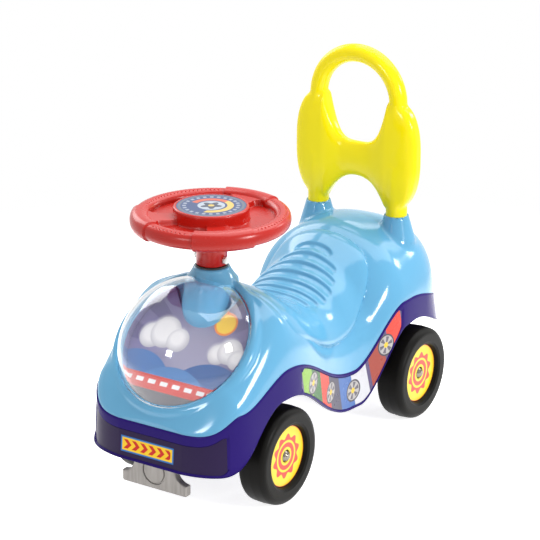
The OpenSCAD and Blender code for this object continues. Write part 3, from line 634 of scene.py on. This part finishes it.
strip_print, tree, shader = new_material("side_strip_print", Specular_IOR_Level=0.3)
along, height = on_strip(tree)
along = calc("ABSOLUTE", along)
art = Artwork(along, height, 84, 72, 112)
strip_margin, lean_share = 6, 0.25
slant = calc("MULTIPLY_ADD", height, lean_share, along)
strip_start, strip_end = run_at([strip_front_y, strip_back_y])
block_colours = ((132, 178, 58), (52, 108, 50), (222, 62, 44), (70, 68, 88),
                 (62, 104, 170), (206, 206, 212), (158, 64, 50), (222, 62, 44))
block = (strip_end - strip_start - strip_margin) / len(block_colours)
for number, colour in enumerate(block_colours):
    middle = strip_start + strip_margin + block * (number + 0.5)
    lift = lean_share * np.interp(middle, run, film_middle)
    room = calc("SUBTRACT", block / 2, apart(slant, float(middle + lift)))
    art.lay(filled(room), *colour)
for number in (1, 3, 5, 7):
    middle = float(strip_start + strip_margin + block * number)
    centre_z = float(np.interp(middle, run, film_middle))
    art.lay(art.disc(middle, centre_z, 13.5), 66, 62, 72)
    art.lay(art.disc(middle, centre_z, 11.5), 176, 172, 170)
    art.lay(common(art.ring(middle, centre_z, 6.6, 7.5), art.rays(middle, centre_z, 6)), 98, 94, 104)
    art.lay(art.disc(middle, centre_z, 3.4), 226, 190, 60)
finish_print(art, shader, 0.28)
film_start, film_end = strip_start + film_gap + panel_edge, strip_end - film_gap - panel_edge
side_keep = (run > film_start) & (run < film_end)
film("left_strip", side_keep, "left", strip_print, "left_label")
film("right_strip", side_keep, "right", strip_print, "right_label")

plate_print, tree, shader = new_material("bumper_strip_print", Specular_IOR_Level=0.12)
along, height = on_strip(tree)
art = Artwork(along, height, 40, 27, 64)
plate_x, plate_z = -4.0, 83.0
art.lay(art.slab(plate_x, plate_z, 70, 18), 58, 120, 190)
art.lay(art.slab(plate_x, plate_z, 66.5, 14.5), 250, 206, 52)
chevron = calc("ADD", along, apart(height, plate_z))
art.lay(common(art.slab(plate_x, plate_z, 62, 10.5), stripes(chevron, 11.0, 0.5)), 206, 52, 44)
finish_print(art, shader, 0.36)
bumper_keep = run < run_at(bumper_back_y) - film_gap - panel_edge
film("bumper_strip", bumper_keep, "both", plate_print, "bumper_label")

# Window
# A clear polystyrene dome snaps into the cup of the hood, over a printed card with an upturned border. The
# end of the column's housing stands in an opening of the card and runs up into the top of the dome.
clear_dome, tree, shader = new_material("clear_dome_plastic", IOR=1.45, Transmission_Weight=1.0,
                                        Base_Color=tone(250, 251, 252))
smudge = noise(place_on(tree), 26.0, 4.0)
haze = calc("MULTIPLY", calc("MAXIMUM", calc("SUBTRACT", smudge, 0.5), 0.0), 0.08)
wire(shader, Roughness=calc("ADD", haze, 0.01))
clear = add_node(tree, "ShaderNodeBsdfTransparent", {"Color": tone(222, 223, 226)})
is_shadow = tree.nodes.new("ShaderNodeLightPath").outputs["Is Shadow Ray"]
mixed = add_node(tree, "ShaderNodeMixShader", {0: is_shadow, 1: shader.outputs[0], 2: clear.outputs[0]})
wire(tree.nodes["Material Output"], Surface=mixed.outputs[0])


def full_turn(count):
    return np.linspace(-np.pi, np.pi, count, endpoint=False)


def on_dome(radius, turn, out):
    """Places by radius, turn and height over the foot of the dome, in the dome's tilted plane."""
    along = radius * np.sin(turn)
    return np.stack([radius * np.cos(turn), dome_y + along * tilt_cos - out * tilt_sin,
                     dome_z + along * tilt_sin + out * tilt_cos], -1)


dome_r, dome_t, dome_foot, pole_r = 85.4, 2.2, -2.6, 0.01
sink = math.sqrt(dome_r ** 2 - dome_base_r ** 2)
outline = []
for size, way in ((dome_r, 1), (dome_r - dome_t, -1)):
    start = math.asin(sink / size)
    arc = start + (math.pi / 2 - start) * np.linspace(0, 1, 60)
    outline += [(size * math.cos(a), size * math.sin(a) - sink) for a in arc[::way]]
foot_r = math.sqrt((dome_r - dome_t) ** 2 - sink ** 2)
outline += [(foot_r, dome_foot), (dome_base_r, dome_foot)]
reach, out = np.array(outline).T
dome = on_dome(np.maximum(reach, pole_r), full_turn(240)[:, None], out)
clear_window = make_piece("clear_window", dome.reshape(-1, 3), tube_faces(*dome.shape[:2]), clear_dome)
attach(clear_window, "chassis")
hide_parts("dome_window")


def on_face(tree, centre, across, up):
    """Places in millimetres on a flat printed face, from its middle and two directions."""
    def vectors(operation, first, second):
        return add_node(tree, "ShaderNodeVectorMath", {0: first, 1: second}, operation=operation).outputs
    off = vectors("SUBTRACT", place_on(tree), [c * MM for c in centre])[0]
    return [calc("DIVIDE", vectors("DOT_PRODUCT", off, way)[1], MM) for way in (across, up)]


card_print, tree, shader = new_material("dome_card_print")
across, up = on_face(tree, (0, dome_y, dome_z), (1, 0, 0), (0, tilt_cos, tilt_sin))
art = Artwork(across, up, 88, 80, 130)
art.lay(art.rays(10, -6, 14), 112, 105, 152)
art.lay(art.disc(10, -6, 46, 22), 146, 143, 168)
art.lay(art.disc(34, 34, 14), 240, 136, 48)
art.lay(art.disc(34, 34, 11.5), 250, 206, 62)
puffs = ((-50, 2, 15), (-34, 9, 19), (-15, 3, 14), (40, -2, 12), (53, 4, 15), (66, -3, 12))
for puff_x, puff_y, puff_r in puffs:
    art.lay(art.disc(puff_x, puff_y, puff_r), 186, 184, 190)
    art.lay(art.disc(puff_x - 2, puff_y + 2, puff_r - 3, 4), 232, 230, 230)
for hill_x, hill_y, hill_r, colour in (
        (-50, -66, 50, (60, 108, 168)), (46, -70, 56, (48, 90, 150)), (0, -88, 60, (72, 122, 178))):
    art.lay(art.disc(hill_x, hill_y, hill_r), *colour)
bank_top, rail_top, rail_foot, ground_top = -42, -47, -52, -59
art.lay(filled(calc("SUBTRACT", bank_top, up)), 206, 56, 46)
rail = common(filled(calc("SUBTRACT", rail_top, up)), filled(calc("SUBTRACT", up, rail_foot)))
art.lay(common(rail, stripes(across, 16.0, 0.6)), 232, 230, 230)
art.lay(filled(calc("SUBTRACT", ground_top, up)), 92, 90, 98)
finish_print(art, shader, 0.35)


def turned_faces(turns, count):
    """Faces of a form turned about an axis: a band of profiles, closed at both ends of the profile."""
    grid = np.arange(turns * count).reshape(turns, count)
    later = np.roll(grid, -1, 0)
    band = np.stack([grid[:, :-1], grid[:, 1:], later[:, 1:], later[:, :-1]], 2).reshape(-1, 4)
    return band.tolist() + [grid[:, 0].tolist(), grid[::-1, -1].tolist()]


card_r, card_t, card_low, card_high, card_gap = dome_base_r - 4.4, 0.8, 0.05 - card_depth, -3.15, 0.4
card_top = card_low + card_t
turn = full_turn(720)
tries = np.linspace(0, card_r, 1200)
clear = housing_distance(*np.moveaxis(on_dome(tries[None], turn[:, None], card_top), -1, 0)) > card_gap
card_edge = tries[np.where(clear.all(1), len(tries), clear.argmin(1)) - 1]
card_rim = np.where(clear.all(1), card_high, card_top)
card_rows = [(pole_r, card_top), (0.35 * card_edge, card_top), (0.7 * card_edge, card_top),
             (card_edge - card_t, card_top), (card_edge - card_t, card_rim), (card_edge, card_rim),
             (card_edge, card_low), (0.5 * card_edge, card_low), (pole_r, card_low)]
card = np.stack([on_dome(radius + 0 * turn, turn, height + 0 * turn) for radius, height in card_rows], 1)
window_card = make_piece("window_card", card.reshape(-1, 3), turned_faces(*card.shape[:2]), card_print)
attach(window_card, "chassis")
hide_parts("dome_card")

# Steering wheel
# One red moulding: a rim with three smooth grips and stitched-look arcs between them, a dished web, three
# raised spokes and a tall hub with a round label. Its sleeve stands on the column, held by a cross bolt.
steer_y, tube_r, rim_r, rim_z, rim_square = -axle_y, 9.2, 77.8, 313.5, 0.06
web_z, web_rise, web_edge = 313.6, 0.6, rim_r - tube_r + 0.2
hub_z, hub_r, hub_round, hub_draft, label_r, label_drop = 328.5, 41.5, 2.2, 0.02, 38.3, 1
foot_out, foot_start, foot_run = 1.6, 13.5, 3
sleeve_r, sleeve_low, sleeve_edge, bore_r, bore_top = 17.3, 262.25, 0.8, 7.05, 309.7
spoke_angles = np.radians([90, -134, -46])
spoke_top, spoke_rise, spoke_edge, spoke_hub_w, spoke_rim_w = 318.3, 3.0, 1.8, 12.0, 16.0
spread_out, spread_start, spread_run = 10, 62, 8
grip_half, grip_lift, grip_edge = math.radians(23), 1.7, 0.9
stitch_pitch, stitch_rows, stitch_width, stitch_depth = math.radians(3.6), (112, 64), 5.0, 1.5
stitch_fade, stitch_gap, fold_turn = 4, 1.2, math.radians(110)

angle = full_turn(1080)
off_grip = np.abs((angle[:, None] - spoke_angles + np.pi) % (2 * np.pi) - np.pi).min(1)
grip = ease((grip_half - off_grip) * rim_r / grip_edge + 0.5)
stitched = ease((off_grip - grip_half) * rim_r / stitch_fade - stitch_gap)


def spoke_height(radius):
    """Height of the web or of a spoke on it, at each angle."""
    turned = angle[:, None] - spoke_angles
    side = np.abs(radius * np.sin(turned))
    half = spoke_hub_w + (spoke_rim_w - spoke_hub_w) * (radius - hub_r) / (rim_r - tube_r - hub_r)
    half = half + spread_out * max(0, (radius - spread_start) / spread_run) ** 2
    share = (ease((half - side) / spoke_edge + 0.5) * (np.cos(turned) > 0)).max(1)
    outward = (radius - hub_r) / (rim_r - hub_r)
    dish, top = web_z + web_rise * outward ** 2, spoke_top + spoke_rise * outward
    return dish + (top - dish) * share


def level(radius, height):
    """A row round the wheel at one radius."""
    return np.full(angle.shape, radius), np.full(angle.shape, height)


label_z = hub_z - label_drop
wheel_rows = [level(*place) for place in (
    (pole_r, label_z), (20, label_z), (label_r, label_z), (label_r, hub_z - 0.25), (label_r + 0.3, hub_z))]
wheel_rows += [level(hub_r - hub_round + hub_round * math.sin(a), hub_z - hub_round + hub_round * math.cos(a))
               for a in np.radians((0, 22, 45, 67, 90))]
for drop in (5, 8, 11, 14, 15.5, 16.5):
    radius = hub_r + hub_draft * drop + foot_out * max(0, (drop - foot_start) / foot_run) ** 2
    wheel_rows.append(level(radius, np.maximum(hub_z - drop, spoke_height(radius))))
wheel_rows += [level(radius, spoke_height(radius)) for radius in np.linspace(hub_r + 3, web_edge, 18)]
tube_turns = np.concatenate([np.arange(172, 132, -4), np.arange(132, 44, -2), np.arange(44, -173, -4)])
for turn in np.radians(tube_turns):
    size = tube_r + grip_lift * grip
    for row in stitch_rows:
        near = np.exp(-(((math.degrees(turn) - row) / stitch_width) ** 2))
        dot = np.maximum(0, np.cos(2 * np.pi * angle / stitch_pitch)) ** 2
        size = size - stitch_depth * stitched * near * dot
    bulge = 1 + rim_square * math.sin(2 * turn) ** 2
    height = rim_z + size * bulge * math.sin(turn)
    radius = rim_r + size * bulge * math.cos(turn)
    if turn > fold_turn:
        height = np.maximum(height, spoke_height(web_edge))
        radius = np.maximum(radius, web_edge)
    wheel_rows.append((radius, height))
wheel_rows += [level(*place) for place in (
    (66, web_z - 1.4), (50, web_z - 2.2), (30, web_z - 3.2), (21, web_z - 4), (18.5, web_z - 5.5),
    (sleeve_r, web_z - 8), (sleeve_r, web_z - 20), (sleeve_r, sleeve_low + sleeve_edge),
    (sleeve_r - sleeve_edge, sleeve_low), (bore_r, sleeve_low), (bore_r, bore_top), (pole_r, bore_top))]
radius, height = (np.stack(part, 1) for part in zip(*wheel_rows))
wheel = np.stack([radius * np.cos(angle)[:, None], steer_y + radius * np.sin(angle)[:, None], height], 2)
red_plastic = moulded("red_plastic", tone(182, 28, 18), gloss=0.26, drift=0.06, grain=1200.0, depth=0.05,
                      Specular_IOR_Level=0.4)
wheel_faces = turned_faces(*radius.shape)
steering = make_piece("steering_rim", wheel.reshape(-1, 3), wheel_faces, red_plastic, sharp=48)
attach(steering, "steering")
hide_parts("steering_wheel")


def dress(material, *names):
    """Gives CAD nodes a finish."""
    for name in names:
        for place in node[name].material_slots:
            place.material = material


hub_print, tree, shader = new_material("hub_label_print")
across, up = on_face(tree, (0, steer_y, hub_z), (1, 0, 0), (0, 1, 0))
art = Artwork(across, up, 58, 84, 122)
art.lay(art.disc(0, 0, 36.4), 96, 104, 118)
art.lay(art.disc(0, 0, 33.6), 42, 66, 112)
art.lay(common(art.ring(0, 0, 29.5, 4.0), art.rays(0, 0, 24)), 150, 158, 172)
art.lay(common(art.ring(0, 0, 21, 7), filled(calc("ADD", up, 2.0))), 196, 90, 62)
art.lay(common(art.ring(0, 0, 21, 7), filled(calc("SUBTRACT", across, 6.0))), 206, 178, 92)
art.lay(art.disc(0, 0, 15), 168, 178, 190)
art.lay(art.petals(0, 0, 9.5, 2.6, 5), 58, 66, 84)
art.lay(art.disc(0, 0, 3.4), 206, 178, 92)
finish_print(art, shader, 0.32)
dress(hub_print, "hub_label")

# Column and its fixings
# A steel rod stands in two black acetal bushes, with a spring clip under the deck. A zinc-plated bolt and nut
# go across the sleeve of the steering wheel.

# Brushed steel: fine streaks along a piece, with duller and brighter patches
worn_steel, given = new_face("worn_steel", "Gloss")
place = place_on(worn_steel)
streak = noise(stretched(place, (120.0, 1600.0, 1600.0)), 1.0, 3.0)
patch = noise(place, 120.0, 3.0)
light = calc("MULTIPLY_ADD", streak, 0.3, 0.85)
rough = calc("ADD", given["Gloss"], swing(patch, 0.4, 0.25))
end_face(worn_steel, shaded(given["Colour"], light), rough, streak)


def steel(name, colour, gloss):
    material, _, shader = new_material(name, Metallic=1.0)
    wire_face(shader, worn_steel, {"Colour": colour, "Gloss": gloss}, 0.08, 0.0002)
    return material


plated_steel = steel("plated_steel", tone(206, 206, 204), 0.28)
dress(plated_steel, "column_rod", "column_bolt", "column_nut", "column_clip")
black_bush = moulded("black_acetal", tone(30, 30, 32), gloss=0.34, drift=0.1, grain=1400.0, depth=0.08)
dress(black_bush, "upper_bush", "lower_bush")

# Axles and saddles
# Two steel rods run in pairs of moulded saddles that are screwed up into the deck, with a nylon washer
# beside each wheel. Pan-head screws hold the saddles, the plough and the two shells.
dress(plated_steel, "front_axle", "rear_axle", "saddle_screws", "body_screws", "plough_screws")
dress(moulded("white_nylon", tone(226, 224, 216), gloss=0.42, drift=0.06), "front_washers", "rear_washers")
dark_saddle = moulded("dark_saddle_plastic", tone(44, 34, 84), gloss=0.36, drift=0.1, depth=0.08)
dress(dark_saddle, "front_saddles", "rear_saddles")

# Wheels
# Four hollow blow-moulded wheels in satin black, each with a printed yellow disc pressed into its outer face.
# A steel push-on cap on the axle's end holds the wheel on.
black_wheel = moulded("satin_black_plastic", tone(15, 14, 12), gloss=0.42, drift=0.25, grain=520.0, depth=0.2,
                      Specular_IOR_Level=0.1)
dress(black_wheel, "front_left_wheel", "front_right_wheel", "rear_left_wheel", "rear_right_wheel")
# The caps' steel is darker than the plated steel: painted reflection, standing in for the dark surroundings
# that the real shiny caps mirror.
dress(steel("cap_steel", tone(132, 124, 114), 0.14), "front_axle_caps", "rear_axle_caps")
wheel_z = (wheel_low[2] + wheel_high[2]) / 2
disc_yellow, disc_red = (246, 214, 36), (214, 60, 42)
for end, end_y in (("front", -axle_y), ("rear", axle_y)):
    for side in ("left", "right"):
        name = f"{end}_{side}_disc"
        disc_print, tree, shader = new_material(name + "_print")
        across, up = on_face(tree, (0, end_y, wheel_z), (0, 1, 0), (0, 0, 1))
        art = Artwork(across, up, *disc_yellow)
        art.lay(art.ring(0, 0, 34.6, 1.5), *disc_red)
        art.lay(art.petals(0, 0, 23.5, 2.4, 10), *disc_red)
        art.lay(art.ring(0, 0, 17, 2.6), *disc_yellow)
        art.lay(art.disc(0, 0, 10.5), *disc_yellow)
        finish_print(art, shader, 0.34)
        dress(disc_print, name)

# Plough
# A flat moulding in grey plastic hangs below the bumper, with two ears at its lower corners and a round
# groove in its face. It is screwed up into the deck through the lip at its top.
plough_low, plough_high = (np.array(corner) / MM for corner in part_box("plough"))
plough_t, plough_neck, plough_corner, ear_h, lip_t = 9, 27, 3, 13, 4
circle_r, circle_h, circle_half, circle_depth = 14, 20.5, 0.9, 1.6


def plough_distance(x, y, z):
    """Distance in millimetres outside the plough."""
    side, face, up = np.abs(x), plough_low[1], z - plough_low[2]
    notch_r = plough_high[0] - plough_neck
    notch = np.where(z > plough_low[2] + ear_h + notch_r, plough_neck + notch_r - side,
                     np.hypot(side - plough_high[0], up - ear_h - notch_r))
    plate = rounded(side - plough_high[0], plough_low[2] - z, plough_corner)
    plate = np.maximum(cut(plate, notch - notch_r, 1), z - plough_high[2])
    plate = cut(plate, face + plough_t - y, 1.5)
    plate = cut(plate, y - face, 2.5)
    circle = np.abs(np.hypot(x, up - circle_h) - circle_r) - circle_half
    plate = cut(plate, np.maximum(circle, y - face - circle_depth), 0.4)
    lip = np.maximum(side - plough_neck, plough_high[2] - lip_t - z)
    lip = np.maximum(lip, np.maximum(face - y, y - plough_high[1]))
    return np.maximum(np.minimum(plate, lip), z - plough_high[2])


plough_grey, tree, shader = new_material("brushed_grey_plastic", Metallic=0.4)
place = place_on(tree)
streak = noise(stretched(place, (420.0, 420.0, 26.0)), 1.0, 4.0)
smear = noise(place, 60.0, 3.0)
wire(shader, Base_Color=blended(streak, tone(112, 108, 105), tone(168, 163, 158)),
     Roughness=calc("MULTIPLY_ADD", smear, 0.3, 0.3), Normal=bumped(streak, 0.12, 0.0004))
plough_air, plough_step = 3, 0.9
corners, quads = skin_of(plough_distance, plough_low - plough_air, plough_high + plough_air, plough_step)
grey_plough = make_piece("grey_plough", corners, quads, plough_grey, sharp=50)
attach(grey_plough, "chassis")
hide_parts("plough")

# Push handle
# A yellow blow-moulded handle: two flat-sided lobes joined by a bar, a loop of tube above them and two legs
# that stand in the sockets of the hump. It is one hollow moulding.
loop_r, loop_z, bar_z, bar_h, bar_deep, lobe_z, lobe_h, lobe_deep = 10.7, 377.9, 304.5, 21, 9.5, 316, 64, 4
lobe_start, lobe_run, lobe_reach, lobe_end, lobe_round, end_round = 16, 30, 29, 28.5, 2.2, 0.7
bar_square, lobe_square, rise_power, drop_power, leg_depth = 0.8, 0.3, 3.4, 2.25, 39.5


def handle_distance(x, y, z):
    """Distance in millimetres outside the yellow handle."""
    side = np.abs(x)
    lobe = ease((side - lobe_start) / lobe_run)
    reach = np.clip((side - leg_x) / lobe_reach, 0, 0.999)
    end = np.maximum(1 - reach ** lobe_round, 1e-3) ** (1 / lobe_round)
    power = 2 / (bar_square - lobe_square * lobe)
    rise = np.minimum(side / (leg_x - loop_r), 1) ** rise_power
    drop = np.minimum(side / (leg_x - leg_r), 1) ** drop_power
    high = bar_z + bar_h + (lobe_z + lobe_h - bar_z - bar_h) * rise
    low = bar_z - bar_h + (lobe_z - lobe_h - bar_z + bar_h) * drop
    half_z, half_y = (high - low) / 2 * end, (bar_deep + lobe_deep * lobe) * end ** end_round
    up, deep = np.abs(z - (high + low) / 2) / half_z, np.abs(y - handle_y) / half_y
    rho = np.maximum((up ** power + deep ** power) ** (1 / power), 0.05)
    steep = rho ** (1 - power) * np.hypot(up ** (power - 1) / half_z, deep ** (power - 1) / half_y)
    form = np.maximum((rho - 1) / np.maximum(steep, 1e-3), side - leg_x - lobe_end)
    leg = np.hypot(side - leg_x, y - handle_y)
    lower = np.maximum(np.maximum(leg - leg_r, z - bar_z), socket_top - leg_depth - z)
    form = joined(form, lower, 3)
    arc = np.hypot(np.hypot(x, z - loop_z) - leg_x, y - handle_y) - loop_r
    stem = np.maximum(leg - loop_r, np.maximum(z - loop_z, lobe_z - z))
    loop = np.minimum(np.maximum(arc, loop_z - z), stem)
    return joined(form, loop, 3)


yellow = moulded("yellow_plastic", tone(255, 234, 0), gloss=0.16, drift=0.03, grain=700.0,
                 Specular_IOR_Level=0.3)
handle_low, handle_high = (-86, handle_y - 17, socket_top - 42), (86, handle_y + 17, 448)
corners, quads = skin_of(handle_distance, handle_low, handle_high, 1.25)
handle = make_piece("yellow_handle", corners, quads, yellow, sharp=55)
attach(handle, "chassis")
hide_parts("push_handle")

# Studio
# A pale floor, a white world, five softboxes and the camera at the photograph's place.
floor_half, floor_glow, fade_start, fade_end = 6, 0.8, 0.45, 0.95
world_light, world_seen = 0.54, 0.46


def seen_rays(tree):
    """1 for the rays that bring a thing to the camera, straight, mirrored or through the window."""
    path = tree.nodes.new("ShaderNodeLightPath").outputs
    seen = calc("ADD", path["Is Camera Ray"], path["Is Glossy Ray"])
    return calc("MINIMUM", calc("ADD", seen, path["Is Transmission Ray"]), 1.0)


floor_mesh = bpy.data.meshes.new("floor")
floor_mesh.from_pydata([(floor_half * a, floor_half * b, 0) for a, b in ((-1, -1), (1, -1), (1, 1), (-1, 1))],
                       [], [(0, 1, 2, 3)])
floor = add_object("floor", floor_mesh)
floor_white, tree, shader = new_material("floor_white", Roughness=0.8, Base_Color=(0.9, 0.9, 0.9, 1))
glow = add_node(tree, "ShaderNodeEmission", {
    "Color": (1, 1, 1, 1), "Strength": calc("MULTIPLY", seen_rays(tree), floor_glow)})
lit = add_node(tree, "ShaderNodeAddShader", {0: shader.outputs[0], 1: glow.outputs[0]})
far = add_node(tree, "ShaderNodeVectorMath", {0: place_on(tree)}, operation="LENGTH").outputs["Value"]
fade = add_node(tree, "ShaderNodeMapRange", {0: far, 1: fade_start, 2: fade_end},
                interpolation_type="SMOOTHSTEP").outputs[0]
clear = add_node(tree, "ShaderNodeBsdfTransparent")
edge = add_node(tree, "ShaderNodeMixShader", {0: fade, 1: lit.outputs[0], 2: clear.outputs[0]})
wire(tree.nodes["Material Output"], Surface=edge.outputs[0])
floor_mesh.materials.append(floor_white)

world = bpy.data.worlds.new("studio")
bpy.context.scene.world = world
world.use_nodes = True
tree = world.node_tree
sky = tree.nodes["Background"]
sky.inputs["Color"].default_value = (1, 1, 1, 1)
wire(sky, Strength=calc("MULTIPLY_ADD", seen_rays(tree), world_seen, world_light))


def softbox(name, place, target, size, power):
    data = bpy.data.lights.new(name, "AREA")
    data.shape, data.size, data.energy = "SQUARE", size, power
    lamp = add_object(name, data)
    lamp.location = place
    way = np.array(target) - np.array(place)
    flat = math.hypot(way[0], way[1])
    lamp.rotation_euler = (math.pi / 2 + math.atan2(way[2], flat), 0, math.atan2(-way[0], way[1]))


softbox("right_softbox", (2.3, -0.2, 1.0), (0, 0, 0.2), 0.45, 27)
softbox("front_softbox", (-0.2, -2.6, 0.9), (0, -0.1, 0.2), 0.4, 10.5)
softbox("top_softbox", (0.1, 1.0, 2.5), (0, 0, 0.2), 3.0, 82)
softbox("left_softbox", (-1.5, 0.5, 1.1), (0, 0, 0.2), 0.9, 9)
softbox("back_softbox", (1.1, 2.0, 1.1), (0, 0, 0.2), 0.35, 6)

focal_px, photo_px, camera_fall, camera_turn = 2388.53, 540, 19.71, 33.54
camera = add_object("camera", bpy.data.cameras.new("camera"))
camera.location = (1.40951, -2.15685, 1.13352)
camera.rotation_euler = (math.radians(90 - camera_fall), 0, math.radians(camera_turn))
camera.data.sensor_width, camera.data.lens = 36, 36 * focal_px / photo_px
bpy.context.scene.camera = camera
bpy.context.scene.view_settings.view_transform = "Standard"
